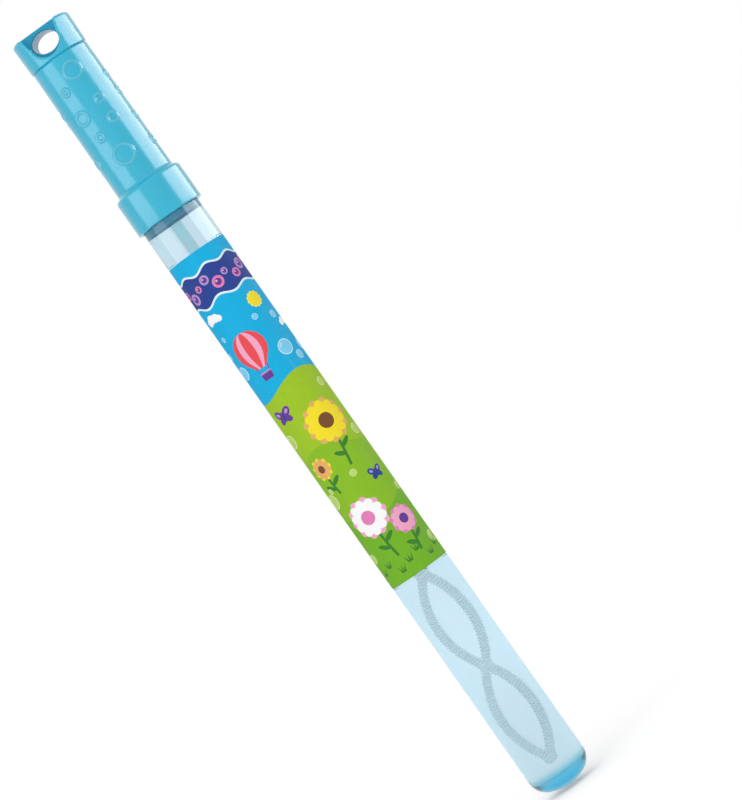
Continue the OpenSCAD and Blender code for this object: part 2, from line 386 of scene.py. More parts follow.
class Effects:
    """Surface effects that several finishes share, each one a node group."""

    def __init__(self) -> None:
        """Build the groups once."""
        self.grain = self._grain()
        self.scuffs = self._scuffs()
        self.drift = self._drift()

    @staticmethod
    def _grain() -> bpy.types.NodeTree:
        """Fine moulded grain: a roughness that varies and a height for bumps."""
        graph, source, sink = new_group(
            "fine_grain", {"Scale": 900.0, "Smooth": 0.2, "Rough": 0.3},
            {"Roughness": "NodeSocketFloat", "Height": "NodeSocketFloat"})
        where = graph.where()
        patches = graph.noise(where, graph.value("MULTIPLY", source.outputs["Scale"], 0.12), 3.0)
        level = graph.node("ShaderNodeMapRange", {
            "Value": patches, "From Min": 0.3, "From Max": 0.7,
            "To Min": source.outputs["Smooth"], "To Max": source.outputs["Rough"]})
        graph.link(level.outputs["Result"], sink.inputs["Roughness"])
        graph.link(graph.noise(where, source.outputs["Scale"], 2.0), sink.inputs["Height"])
        return graph.tree

    @staticmethod
    def _scuffs() -> bpy.types.NodeTree:
        """Faint rubbed marks from handling, longer along the tube than across it."""
        graph, source, sink = new_group(
            "handling_scuffs", {"Scale": 260.0, "Amount": 0.5}, {"Mask": "NodeSocketFloat"})
        where = graph.where()
        drawn = graph.node("ShaderNodeMapping", {"Vector": where, "Scale": (1.0, 1.0, 0.16)})
        marks = graph.noise(drawn.outputs["Vector"], source.outputs["Scale"], 6.0, 0.7)
        sharp = graph.spread(marks, 0.6, 0.72)
        wide = graph.spread(graph.noise(where, 70.0, 2.0), 0.45, 0.65)
        both = graph.value("MULTIPLY", sharp, wide)
        graph.link(graph.value("MULTIPLY", both, source.outputs["Amount"]), sink.inputs["Mask"])
        return graph.tree

    @staticmethod
    def _drift() -> bpy.types.NodeTree:
        """Slow drift of a colour over the surface, as uneven moulding or ink gives."""
        graph, source, sink = new_group(
            "tone_drift", {"Colour": (0.5, 0.5, 0.5, 1.0), "Scale": 45.0, "Drift": 0.06},
            {"Colour": "NodeSocketColor"})
        clouds = graph.noise(graph.where(), source.outputs["Scale"], 3.0)
        centred = graph.value("SUBTRACT", clouds, 0.5)
        level = graph.value("ADD", graph.value("MULTIPLY", centred, source.outputs["Drift"]), 1.0)
        toned = graph.node("ShaderNodeHueSaturation", {"Value": level, "Color": source.outputs["Colour"]})
        graph.link(toned.outputs["Color"], sink.inputs["Colour"])
        return graph.tree


def new_material(name: str) -> Tuple[bpy.types.Material, Graph, bpy.types.Node, bpy.types.Node]:
    """Start a material.

    Args:
        name: name of the material.

    Returns:
        The material, its graph, its Principled shader and its output node.
    """
    material = bpy.data.materials.new(name)
    material.use_nodes = True
    nodes = material.node_tree.nodes
    return material, Graph(material.node_tree), nodes["Principled BSDF"], nodes["Material Output"]


def fill(shader: bpy.types.Node, values: Dict[str, object]) -> None:
    """Set constant values on a shader's own sockets."""
    for key, value in values.items():
        shader.inputs[key].default_value = value


def paler(colour: Colour, share: float) -> Colour:
    """Colour moved towards white by a share."""
    return tuple(min(1.0, c * (1 - share) + share) for c in colour)


def surface(graph: Graph, shader: bpy.types.Node, tone: bpy.types.NodeSocket,
            roughness: bpy.types.NodeSocket, height: bpy.types.NodeSocket, depth: float,
            distance: float = 0.0004) -> None:
    """Feed a finish to its shader.

    Args:
        graph: the material's graph.
        shader: its Principled shader.
        tone: the colour.
        roughness: the roughness.
        height: the height of the bumps.
        depth: the strength of the bumps.
        distance: how far the bumps reach, in metres.
    """
    bump = graph.node("ShaderNodeBump", {"Height": height, "Strength": depth, "Distance": distance})
    normal = bump.outputs["Normal"]
    for name, source in (("Base Color", tone), ("Roughness", roughness), ("Normal", normal)):
        graph.link(source, shader.inputs[name])


class Finish:
    """Finish of a piece, which each kind leads to its shader in its own way."""

    name: str

    def paint(self, effects: Effects, graph: Graph, shader: bpy.types.Node, sink: bpy.types.Node) -> None:
        """Lead the finish to its shader.

        Args:
            effects: the shared effects.
            graph: the material's graph.
            shader: its Principled shader.
            sink: its output node.
        """
        raise NotImplementedError

    def material(self, effects: Effects) -> bpy.types.Material:
        """Build the finish as a material.

        Args:
            effects: the shared effects.

        Returns:
            The material.
        """
        material, graph, shader, sink = new_material(self.name)
        self.paint(effects, graph, shader, sink)
        return material


@dataclass(frozen=True)
class MouldedPlastic(Finish):
    """Coloured moulded plastic with a fine grain and faint scuffs, painted shade in marked recesses and
    painted highlights on marked ring tops.
    """

    name: str
    colour: Colour
    smooth: float = 0.2
    rough: float = 0.3
    grain: float = 900.0
    grain_depth: float = 0.02
    drift: float = 0.06
    scuffs: float = 0.35
    coat: float = 0.2
    glow: float = 0.0
    ior: float = 1.48
    rub: float = 0.35
    rub_tone: float = 0.4
    dulling: float = 0.25
    # Mask of painted shade in recesses, and the factors that darken the colour there.
    painted_shade: Optional[str] = None
    painted_shade_factors: Tuple[float, float, float] = (0.0, 0.66, 0.74)
    hollow_dulling: float = 0.35
    # Mask of painted highlights on the raised ring tops, and how far they pale the colour.
    crests: Optional[str] = None
    crest_share: float = 0.45
    crest_tone: float = 0.22

    def paint(self, effects: Effects, graph: Graph, shader: bpy.types.Node, sink: bpy.types.Node) -> None:
        """Lead the plastic to its shader."""
        fill(shader, {"IOR": self.ior, "Coat Weight": self.coat, "Coat Roughness": 0.12,
                      "Subsurface Weight": self.glow, "Subsurface Scale": 0.003,
                      "Subsurface Radius": (0.35, 0.8, 1.0)})
        tone = graph.group(effects.drift, {"Colour": self.colour, "Drift": self.drift}).outputs["Colour"]
        marks = graph.group(effects.scuffs, {"Amount": self.scuffs}).outputs["Mask"]
        grain = graph.group(effects.grain, {
            "Scale": self.grain, "Smooth": self.smooth, "Rough": self.rough}).outputs
        dull = graph.value("MULTIPLY", marks, self.dulling)
        tone = graph.mix(graph.value("MULTIPLY", marks, self.rub), tone, paler(self.colour, self.rub_tone))
        # Painted highlight: the colour pales on the marked ring tops.
        if self.crests:
            crest_highlight = graph.value("MULTIPLY", graph.mask(self.crests), self.crest_share)
            tone = graph.mix(crest_highlight, tone, paler(self.colour, self.crest_tone))
        # Painted shade: the colour darkens in the marked recesses, which also lose their coat and grow
        # rougher.
        if self.painted_shade:
            mask = graph.mask(self.painted_shade)
            deep = tuple(c * share for c, share in zip(self.colour, self.painted_shade_factors)) + (1.0,)
            tone = graph.mix(mask, tone, deep)
            open_air = graph.value("SUBTRACT", 1.0, mask)
            graph.link(graph.value("MULTIPLY", open_air, self.coat), shader.inputs["Coat Weight"])
            dull = graph.value("ADD", dull, graph.value("MULTIPLY", mask, self.hollow_dulling))
        surface(graph, shader, tone, graph.value("ADD", grain["Roughness"], dull), grain["Height"],
                self.grain_depth)


@dataclass(frozen=True)
class ClearBody(Finish):
    """Clear or milky plastic, or a liquid, tinted by its depth, with painted refraction colour over a
    height range and painted shade in marked grooves.
    """

    name: str
    colour: Colour = (1.0, 1.0, 1.0, 1.0)
    smooth: float = 0.01
    rough: float = 0.04
    ior: float = 1.49
    through: float = 1.0
    wave: float = 0.03
    grain: float = 160.0
    drift: float = 0.02
    scuffs: float = 0.3
    scuff_scale: float = 420.0
    dulling: float = 0.12
    depth_colour: Colour = (1.0, 1.0, 1.0, 1.0)
    depth_density: float = 0.0
    # Painted refraction colour that the tone blends to between two heights.
    painted_refraction: Optional[Colour] = None
    painted_refraction_low: float = 0.0
    painted_refraction_high: float = 1.0
    # Mask and colour of painted shade in grooves.
    painted_groove_shade: Optional[str] = None
    groove_shade_colour: Colour = (1.0, 1.0, 1.0, 1.0)

    def paint(self, effects: Effects, graph: Graph, shader: bpy.types.Node, sink: bpy.types.Node) -> None:
        """Lead the clear body to its shader."""
        fill(shader, {"IOR": self.ior, "Transmission Weight": self.through})
        tone = graph.group(effects.drift, {"Colour": self.colour, "Drift": self.drift}).outputs["Colour"]
        # Painted refraction colour: the tone blends to a given colour between two heights.
        if self.painted_refraction:
            height = graph.node("ShaderNodeSeparateXYZ", {0: graph.where()}).outputs["Z"]
            share = graph.spread(height, self.painted_refraction_low, self.painted_refraction_high)
            tone = graph.mix(share, tone, self.painted_refraction)
        # Painted shade: the tone darkens where the mask marks grooves.
        if self.painted_groove_shade:
            tone = graph.mix(graph.mask(self.painted_groove_shade), tone, self.groove_shade_colour)
        grain = graph.group(effects.grain, {
            "Scale": self.grain, "Smooth": self.smooth, "Rough": self.rough}).outputs
        marks = graph.group(effects.scuffs, {"Scale": self.scuff_scale, "Amount": self.scuffs})
        dull = graph.value("MULTIPLY", marks.outputs["Mask"], self.dulling)
        surface(graph, shader, tone, graph.value("ADD", grain["Roughness"], dull), grain["Height"],
                self.wave)
        if self.depth_density > 0:
            deep = graph.node("ShaderNodeVolumeAbsorption", {
                "Color": self.depth_colour, "Density": self.depth_density})
            graph.link(deep.outputs["Volume"], sink.inputs["Volume"])


@dataclass(frozen=True)
class PrintedFilm(Finish):
    """Printed plastic film whose inks lie in the mesh's colours."""

    name: str
    inks: str
    smooth: float = 0.66
    rough: float = 0.82
    ior: float = 1.32
    drifts: Tuple[Point, ...] = ((900.0, 0.1), (40.0, 0.05))
    scuffs: float = 0.3
    scuff_scale: float = 300.0
    rub: float = 0.2
    bare: Colour = (0.9, 0.9, 0.9, 1.0)
    grain: float = 1400.0
    grain_depth: float = 0.05
    grain_reach: float = 0.0003

    def paint(self, effects: Effects, graph: Graph, shader: bpy.types.Node, sink: bpy.types.Node) -> None:
        """Lead the film to its shader."""
        fill(shader, {"IOR": self.ior})
        tone = graph.node("ShaderNodeVertexColor", None, layer_name=self.inks).outputs["Color"]
        for scale, drift in self.drifts:
            tone = graph.group(effects.drift, {
                "Colour": tone, "Scale": scale, "Drift": drift}).outputs["Colour"]
        marks = graph.group(effects.scuffs, {"Scale": self.scuff_scale, "Amount": self.scuffs})
        tone = graph.mix(graph.value("MULTIPLY", marks.outputs["Mask"], self.rub), tone, self.bare)
        grain = graph.group(effects.grain, {
            "Scale": self.grain, "Smooth": self.smooth, "Rough": self.rough}).outputs
        surface(graph, shader, tone, grain["Roughness"], grain["Height"], self.grain_depth,
                self.grain_reach)


class Ink(Enum):
    """Inks of the wrap."""

    SKY = tint(12, 176, 226)
    LEAF = tint(158, 198, 36)
    MEADOW = tint(137, 190, 36)
    GRASS = tint(115, 180, 36)
    NAVY = tint(40, 66, 146)
    WHITE = tint(252, 252, 252)
    CLOUD = tint(226, 244, 252)
    SUN = tint(248, 226, 40)
    RAY = tint(252, 238, 120)
    RED = tint(236, 78, 84)
    PINK = tint(244, 170, 200)
    ROSE = tint(226, 130, 184)
    PURPLE = tint(104, 60, 148)
    LILAC = tint(178, 146, 208)
    TAN = tint(232, 176, 104)
    BROWN = tint(122, 76, 44)
    STALK = tint(58, 128, 44)
    SKY_BUBBLE = tint(126, 208, 244)
    SKY_RIM = tint(196, 234, 250)
    LEAF_BUBBLE = tint(186, 216, 110)
    LEAF_RIM = tint(220, 236, 172)
    FILM = tint(244, 246, 246)


class Print:
    """Flat artwork of the wrap, as shapes laid one over another.

    Across is the way round the tube from the middle of the front, and up is the height on the wrap.
    """

    OVAL_STEPS = 28
    ROW = 11.0

    def __init__(self, width: float, height: float) -> None:
        """Start a sheet of a width and a height."""
        self.width, self.height = width, height
        self.shapes: List[Tuple[np.ndarray, Ink]] = []

    def lay(self, outline: Sequence[Point], ink: Ink) -> None:
        """Lay a closed shape, and its share that passes the seam."""
        points = np.array(outline, float)
        for shift in (-self.width, 0.0, self.width):
            moved = points + (shift, 0.0)
            if moved[:, 0].max() > -self.width / 2 and moved[:, 0].min() < self.width / 2:
                self.shapes.append((moved, ink))

    def oval(self, x: float, y: float, rx: float, ry: float, ink: Ink, lean: float = 0.0) -> None:
        """Lay an oval that leans by an angle in degrees."""
        turn = np.linspace(0, TAU, self.OVAL_STEPS, endpoint=False)
        c, s = math.cos(math.radians(lean)), math.sin(math.radians(lean))
        a, b = rx * np.cos(turn), ry * np.sin(turn)
        self.lay(np.stack([x + a * c - b * s, y + a * s + b * c], 1), ink)

    def stroke(self, line: Sequence[Point], width: float, ink: Ink) -> None:
        """Lay a line of a width along points."""
        points = np.array(line, float)
        along = np.gradient(points, axis=0)
        along /= np.linalg.norm(along, axis=1)[:, None]
        side = np.stack([-along[:, 1], along[:, 0]], 1) * width / 2
        self.lay(np.concatenate([points + side, (points - side)[::-1]]), ink)

    def bubble(self, x: float, y: float, radius: float, over_sky: bool) -> None:
        """Lay a pale bubble with a lit rim."""
        rim, body = (Ink.SKY_RIM, Ink.SKY_BUBBLE) if over_sky else (Ink.LEAF_RIM, Ink.LEAF_BUBBLE)
        self.oval(x, y, radius, radius, rim)
        self.oval(x, y, radius * 0.86, radius * 0.86, body)
        glint = arc((x, y), radius * 0.62, 110, 165, 6)
        self.stroke(glint, radius * 0.16, rim)

    def cloud(self, x: float, y: float, size: float) -> None:
        """Lay a cloud."""
        puffs = ((-0.9, 0.0, 0.55), (-0.3, 0.3, 0.7), (0.45, 0.2, 0.62), (1.0, -0.05, 0.45))
        for dx, dy, r in puffs:
            self.oval(x + dx * size, y + dy * size - 0.12 * size, r * size, r * size * 0.8, Ink.CLOUD)
        for dx, dy, r in puffs:
            self.oval(x + dx * size, y + dy * size, r * size, r * size * 0.8, Ink.WHITE)

    def flower(self, x: float, y: float, size: float, petals: int, inks: Tuple[Ink, Ink, Ink]) -> None:
        """Lay a flower of a size, with back petals, front petals and a middle in three inks."""
        for layer, (reach, ink) in enumerate(((0.66, inks[0]), (0.56, inks[1]))):
            for i in range(petals):
                lean = (i + 0.5 * layer) * 360 / petals
                a = math.radians(lean)
                self.oval(x + size * reach * math.cos(a), y + size * reach * math.sin(a),
                          size * 0.4, size * 0.55 * math.sin(math.pi / petals) + size * 0.1, ink, lean)
        self.oval(x, y, size * 0.36, size * 0.36, inks[2])

    def stalk(self, x: float, y: float, height: float, bend: float) -> None:
        """Lay a stalk up to a flower, with two leaves."""
        line = [(x - bend * (1 - t) ** 2, y - height * (1 - t)) for t in np.linspace(0, 1, 9)]
        self.stroke(line, 1.1, Ink.STALK)
        for side, share in ((1, 0.45), (-1, 0.3)):
            self.oval(line[3][0] + side * 2.2, y - height * (1 - share), 2.6, 0.95, Ink.STALK, side * 32)

    def butterfly(self, x: float, y: float, size: float, wing: Ink, spot: Ink) -> None:
        """Lay a butterfly."""
        for side in (-1, 1):
            self.oval(x + side * size * 0.55, y + size * 0.35, size * 0.62, size * 0.42, wing, side * 38)
            self.oval(x + side * size * 0.45, y - size * 0.35, size * 0.45, size * 0.34, wing, -side * 35)
            self.oval(x + side * size * 0.62, y + size * 0.4, size * 0.28, size * 0.18, spot, side * 38)
        self.oval(x, y, size * 0.11, size * 0.62, Ink.NAVY)

    def balloon(self, x: float, y: float, size: float) -> None:
        """Lay a striped hot-air balloon."""
        for dx in (-0.3, 0.3):
            rope = [(x + dx * size * 1.6, y - size * 0.6), (x + dx * size * 0.9, y - size * 1.5)]
            self.stroke(rope, 0.35, Ink.PURPLE)
        side = arc((x, y), size, -38, 218, 30)
        foot = [(x - size * 0.3, y - size * 1.18), (x + size * 0.3, y - size * 1.18)]
        self.lay(side + foot, Ink.RED)
        for reach, ink in ((0.62, Ink.PINK), (0.26, Ink.RED)):
            right = [(x + reach * size * math.cos(a), y + size * math.sin(a))
                     for a in np.radians(np.linspace(-40, 90, 14))]
            left = [(2 * x - px, py) for px, py in right[::-1]]
            low = [(x - reach * 0.3 * size, y - size * 1.18), (x + reach * 0.3 * size, y - size * 1.18)]
            self.lay(right + left + low, ink)
        for half, low, top, ink in ((0.3, 1.9, 1.45, Ink.PURPLE), (0.34, 1.52, 1.42, Ink.LILAC)):
            self.lay([(x - size * half, y - size * low), (x + size * half, y - size * low),
                      (x + size * 0.34, y - size * top), (x - size * 0.34, y - size * top)], ink)

    def hill(self, level: float, swing: float, waves: int, start: float, ink: Ink) -> None:
        """Lay a hill line across the whole sheet."""
        across = np.linspace(-self.width / 2 - 1, self.width / 2 + 1, 73)
        up = level + swing * np.sin(across / self.width * TAU * waves + start)
        edge = list(zip(across.tolist(), up.tolist()))
        foot = [(self.width / 2 + 1, -1.0), (-self.width / 2 - 1, -1.0)]
        self.shapes.append((np.array(edge + foot), ink))

    def ribbon(self, low: float, top: float) -> None:
        """Lay a wavy band with a pale edge and a row of bubbles round the sheet.

        Args:
            low: height of the band's lower edge.
            top: height of its upper edge.
        """
        across = np.linspace(-self.width / 2 - 1, self.width / 2 + 1, 241)
        turn = across / self.width * TAU
        upper = top + 0.9 * np.sin(7 * turn + 0.6) + 0.3 * np.sin(3 * turn)
        lower = low + 1.0 * np.sin(6 * turn + 2.0) + 0.3 * np.sin(4 * turn + 1.0)
        for ink, grow in ((Ink.CLOUD, 0.6), (Ink.NAVY, -0.3)):
            over = np.stack([across, upper + grow], 1)
            under = np.stack([across, lower - grow], 1)
            self.shapes.append((np.concatenate([over, under[::-1]]), ink))
        middle = (low + top) / 2
        for i in range(18):
            x = (i + 0.5) * self.width / 18 - self.width / 2
            size = (2.5, 1.5, 2.0)[i % 3]
            y = middle + (1.0, -2.0, 0.6, 2.4, -1.2)[i % 5]
            self.oval(x, y, size, size, Ink.ROSE if i % 2 else Ink.LILAC)
            self.oval(x, y, size * 0.58, size * 0.58, Ink.PURPLE)
            self.oval(x - size * 0.2, y + size * 0.22, size * 0.2, size * 0.2, Ink.PINK)

    def triangles(self, step: float) -> Tuple[np.ndarray, List[Sequence[int]], List[Ink]]:
        """Cut the sheet into triangles along every outline.

        Args:
            step: width of the strips that let the sheet bend round the tube.

        Returns:
            The points, the triangles and the ink of each.
        """
        half = self.width / 2
        sheet = np.array([(-half, 0), (half, 0), (half, self.height), (-half, self.height)], float)
        points: List[Vector] = []
        faces: List[List[int]] = []
        for outline, _ in [(sheet, Ink.SKY)] + self.shapes:
            nearby = np.roll(outline, -1, 0)
            turns_left = (outline[:, 0] * nearby[:, 1] - nearby[:, 0] * outline[:, 1]).sum() > 0
            ring = list(range(len(points), len(points) + len(outline)))
            points.extend(Vector(p) for p in outline)
            faces.append(ring if turns_left else ring[::-1])
        edges = []
        upright = np.arange(-half + step, half, step)
        level = np.arange(self.ROW, self.height, self.ROW)
        for lines, turned in ((upright, False), (level, True)):
            for at in lines:
                ends = [(-half, at), (half, at)] if turned else [(at, 0), (at, self.height)]
                edges.append((len(points), len(points) + 1))
                points.extend(Vector(p) for p in ends)
        cut, _, parts, _, _, owners = delaunay_2d_cdt(points, edges, faces, 0, 1e-4, True)
        inks = [ink for _, ink in self.shapes]
        kept, colours = [], []
        for part, owner in zip(parts, owners):
            if 0 in owner:
                top = max(owner)
                kept.append(part)
                colours.append(inks[top - 1] if top else Ink.SKY)
        return np.array([tuple(p) for p in cut]), kept, colours


@dataclass
class Bottle:
    """Clear tube with its wrap and the solution in it."""

    effects: Effects
    wall: float = 1.0
    base_edge: float = 8.0
    base_crown: float = 20.0
    bowl_low: float = 3.4
    bowl_radius: float = 17.4
    bowl_ease: Tuple[Point, ...] = ((0.36, 0.75), (0.09, 1.45), (0.0, 2.3))
    panel_depth: float = 0.19
    panel_margin: float = 0.5
    shoulder: float = 276.0
    neck_radius: float = 12.2
    neck_step: float = 0.8
    lip_edge: float = 0.35
    thread_lead: float = 4.0
    thread_turns: float = 1.25
    thread_start: float = 280.0
    thread_foot: float = 1.4
    thread_crest: float = 0.6
    root: float = 0.4
    fill_level: float = 275.0
    liquid_lap: float = 0.12
    liquid_edge: Tuple[Point, ...] = ((0.0, 1.1), (0.35, 0.6), (0.9, 0.22), (1.9, 0.03), (4.0, 0.0))
    seam: float = 1.2
    film: float = 0.15
    strip: float = 0.9
    segments: int = 180
    radius: float = field(init=False)
    rim: float = field(init=False)
    label_low: float = field(init=False)
    label_top: float = field(init=False)
    label_radius: float = field(init=False)

    def __post_init__(self) -> None:
        """Take the main sizes from the frame."""
        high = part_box("tube")[1] / MM
        self.radius, self.rim = high.x, high.z
        low, high = (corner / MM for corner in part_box("label"))
        self.label_low, self.label_top, self.label_radius = low.z, high.z, high.x

    def base(self, inset: float) -> List[Point]:
        """Outline of the rounded base from the axis to the side.

        Args:
            inset: distance in from the outside of the tube.

        Returns:
            The points in order.
        """
        reach = self.radius - self.base_edge
        level = self.base_crown - math.sqrt((self.base_crown - self.base_edge) ** 2 - reach ** 2)
        lean = math.degrees(math.atan2(reach, self.base_crown - level))
        crown = arc((0.0, self.base_crown), self.base_crown - inset, -90, lean - 90, 12)
        edge = arc((reach, level), self.base_edge - inset, lean - 90, 0, 16)
        return [(0.0, crown[0][1])] + crown[1:] + edge[1:]

    def bowl(self, grow: float) -> List[Point]:
        """Outline of the bowl inside the thick base, from the axis to the bore.

        Args:
            grow: distance out from the inside of the tube.

        Returns:
            The points in order.
        """
        centre = self.bowl_low + self.bowl_radius
        reach = self.radius - self.wall + grow
        floor = arc((0.0, centre), self.bowl_radius + grow, -90, -50, 16)
        side = [(reach - inset, floor[-1][1] + rise) for inset, rise in self.bowl_ease]
        return [(0.0, floor[0][1])] + floor[1:] + side

    def thread(self) -> Shell:
        """Ridge of the neck's screw thread."""
        wall = self.neck_radius
        return thread_ridge(wall - self.root, wall, self.radius, self.thread_start, self)

    def build_tube(self) -> bpy.types.Mesh:
        """Mesh of the tube with its wall, its panel and its threaded neck."""
        panel = self.radius - self.panel_depth
        low, top = self.label_low - self.panel_margin, self.label_top + self.panel_margin
        soft = self.panel_depth
        neck = self.shoulder + self.neck_step
        inner = self.neck_radius - self.wall
        edge = self.lip_edge
        lip = arc((self.neck_radius - edge, self.rim - edge), edge, 0, 90, 5)
        lip += arc((inner + edge, self.rim - edge), edge, 90, 180, 5)
        outside = self.base(0.0)
        outside += [(self.radius, low - soft), (panel, low), (panel, top), (self.radius, top + soft)]
        outside += arc((self.radius - self.neck_step, self.shoulder), self.neck_step, 0, 75, 6)
        outside += [(self.neck_radius, neck + 0.35)]
        inside = [(inner, neck + 0.3)] + arc((inner, self.shoulder), self.neck_step, 75, 0, 6)
        profile = outside + lip + inside + self.bowl(0.0)[::-1]
        return fuse("tube", [revolve(profile, self.segments), self.thread()])

    def build_solution(self) -> bpy.types.Mesh:
        """Mesh of the solution, which laps a little into the wall, with a curved edge at its top."""
        reach = self.radius - self.wall + self.liquid_lap
        climb = [(reach - inset, self.fill_level + rise) for inset, rise in self.liquid_edge]
        climb.append((0.0, self.fill_level))
        return revolve(self.bowl(self.liquid_lap) + climb, self.segments).mesh("solution")

    def artwork(self) -> Print:
        """Generic garden print of the wrap: a sky over hills, with bubbles, flowers and balloons."""
        width = TAU * self.label_radius - self.seam
        art = Print(width, self.label_top - self.label_low)
        art.hill(91.0, 2.6, 2, 0.4, Ink.LEAF)
        art.hill(60.0, 3.4, 2, 2.2, Ink.MEADOW)
        art.hill(30.0, 3.0, 2, 4.4, Ink.GRASS)
        for middle in (1.4, width / 2 + 1.4):
            self.scenery(art, middle)
        art.ribbon(art.height - 20.4, art.height - 7.2)
        return art

    @staticmethod
    def scenery(art: Print, x: float) -> None:
        """Lay one half of the print round a middle line at x."""
        art.flower(x + 9.4, 125.4, 3.4, 12, (Ink.RAY, Ink.SUN, Ink.SUN))
        art.cloud(x - 11.0, 127.5, 3.2)
        art.cloud(x + 17.5, 112.0, 2.6)
        art.balloon(x - 4.6, 110.0, 7.4)
        for bx, by, r in ((13.4, 116.6, 1.7), (8.4, 103.0, 3.4), (12.8, 97.5, 1.9), (-15.0, 103.5, 3.0),
                          (-17.6, 112.0, 1.6), (4.8, 119.5, 1.3), (-13.0, 119.0, 1.2), (18.4, 101.0, 2.4)):
            art.bubble(x + bx, by, r, True)
        art.butterfly(x - 9.6, 80.5, 4.0, Ink.PURPLE, Ink.LILAC)
        for fx, fy, size, petals, height, bend, inks in (
                (4.4, 70.0, 9.0, 11, 20.0, 2.0, (Ink.TAN, Ink.SUN, Ink.BROWN)),
                (-9.4, 55.0, 4.6, 9, 12.0, -1.2, (Ink.SUN, Ink.TAN, Ink.BROWN)),
                (-4.6, 29.0, 8.2, 10, 19.0, -1.6, (Ink.PINK, Ink.WHITE, Ink.ROSE)),
                (7.6, 21.0, 5.8, 9, 14.0, 1.4, (Ink.ROSE, Ink.PINK, Ink.PURPLE))):
            art.stalk(x + fx, fy, height, bend)
            art.flower(x + fx, fy, size, petals, inks)
        art.butterfly(x + 9.4, 42.0, 3.2, Ink.NAVY, Ink.LILAC)
        for bx, by, r in ((13.6, 84.0, 2.0), (-15.6, 70.5, 3.2), (14.6, 61.0, 2.4), (-15.4, 41.5, 3.4),
                          (-12.6, 45.6, 1.3), (16.4, 33.0, 1.8), (1.0, 47.0, 1.5), (-15.8, 14.0, 2.2),
                          (15.6, 9.0, 2.6)):
            art.bubble(x + bx, by, r, False)
        for tuft in range(9):
            tx, ty = x - 19.0 + tuft * 4.7, 3.2 + 2.2 * (tuft % 3)
            for lean in (-1.3, 0.0, 1.3):
                foot, tip = tx + lean * 0.4, tx + lean * 1.5
                art.lay([(foot - 0.5, ty), (foot + 0.5, ty), (tip, ty + 3.4)], Ink.STALK)

    def build_label(self) -> bpy.types.Mesh:
        """Mesh of the wrap: a thin closed sheet with the print outside and plain film inside."""
        points, parts, inks = self.artwork().triangles(self.strip)
        turns = points[:, 0] / self.label_radius
        heights = points[:, 1] + self.label_low
        shell = Shell()
        for reach in (self.label_radius, self.label_radius - self.film):
            shell.add(np.stack([reach * np.sin(turns), -reach * np.cos(turns), heights], 1).tolist())
        count = len(points)
        colours = [ink.value for ink in inks]
        shell.faces.extend(parts)
        shell.faces.extend([[i + count for i in reversed(part)] for part in parts])
        colours += [Ink.FILM.value] * len(parts)
        rim = {(a, b) for part in parts for a, b in zip(part, list(part[1:]) + [part[0]])}
        for a, b in sorted(rim):
            if (b, a) not in rim:
                shell.faces.append([b, a, a + count, b + count])
                colours.append(Ink.FILM.value)
        mesh = bpy.data.meshes.new("label")
        mesh.from_pydata((np.array(shell.points) * MM).tolist(), [], shell.faces)
        inked = mesh.color_attributes.new("inks", "FLOAT_COLOR", "CORNER")
        corners = np.repeat(np.array(colours), [len(f) for f in shell.faces], 0)
        inked.data.foreach_set("color", corners.ravel())
        return mesh

    def dress(self) -> None:
        """Put the tube, the solution and the wrap in the scene."""
        # The tube's bottom few millimetres carry painted refraction colour: a deeper blue stands in for
        # the blue its base shows by refraction.
        clear = ClearBody(
            "clear_tube", (0.961, 0.906, 0.93, 1.0), ior=1.46, depth_colour=(0.05, 0.86, 0.97, 1.0),
            depth_density=200.0, painted_refraction=(0.33, 0.77, 0.94, 1.0), painted_refraction_low=0.0065,
            painted_refraction_high=0.003).material(self.effects)
        watery = ClearBody(
            "bubble_solution", ior=1.33, smooth=0.0, rough=0.012, wave=0.0, scuffs=0.0,
            depth_colour=(0.3, 0.64, 0.82, 1.0), depth_density=9.0).material(self.effects)
        film = PrintedFilm("printed_film", "inks").material(self.effects)
        tube = place("clear_tube", self.build_tube(), 40, clear)
        solution = place("bubble_solution", self.build_solution(), 60, watery)
        label = place("printed_wrap", self.build_label(), 40, film)
        for piece, slot in ((tube, "clear_tube"), (solution, "clear_tube"), (label, "printed_wrap")):
            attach(piece, "bottle")
        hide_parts("tube")
        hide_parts("label")


def thread_ridge(foot: float, wall: float, crest: float, start: float, sizes: Bottle) -> Shell:
    """Helical ridge that runs out at both ends.

    Args:
        foot: radius of the buried foot.
        wall: radius of the wall that carries the ridge.
        crest: radius of the crest.
        start: height where the ridge starts.
        sizes: the bottle, which holds the thread's sizes.

    Returns:
        A closed surface.
    """
    shell = Shell()
    per_turn, fade, sides = 72, 12, 6
    steps = int(round(per_turn * sizes.thread_turns))
    half, tip = sizes.thread_foot / 2, sizes.thread_crest / 2
    for i in range(steps + 1):
        angle, height = i * TAU / per_turn, start + sizes.thread_lead * i / per_turn
        full = min(1.0, i / fade, (steps - i) / fade)
        reach = wall + (crest - wall) * math.sin(full * math.pi / 2)
        mid = wall + (reach - wall) * 0.8
        section = ((foot, -half), (mid, -tip - 0.1), (reach, -tip * 0.4),
                   (reach, tip * 0.4), (mid, tip + 0.1), (foot, half))
        shell.add([(r * math.cos(angle), r * math.sin(angle), height + z) for r, z in section])
    for i in range(steps):
        for k in range(sides):
            a, b = i * sides + k, i * sides + (k + 1) % sides
            shell.faces.append([a, b, b + sides, a + sides])
    shell.faces.append(list(range(sides)))
    shell.faces.append([steps * sides + k for k in range(sides)][::-1])
    return shell


def smooth_max(a: np.ndarray, b: np.ndarray, blend: float) -> np.ndarray:
    """Larger of two distances, with the crease rounded over a blend."""
    share = np.clip(0.5 + 0.5 * (a - b) / blend, 0, 1)
    return b + (a - b) * share + blend * share * (1 - share)


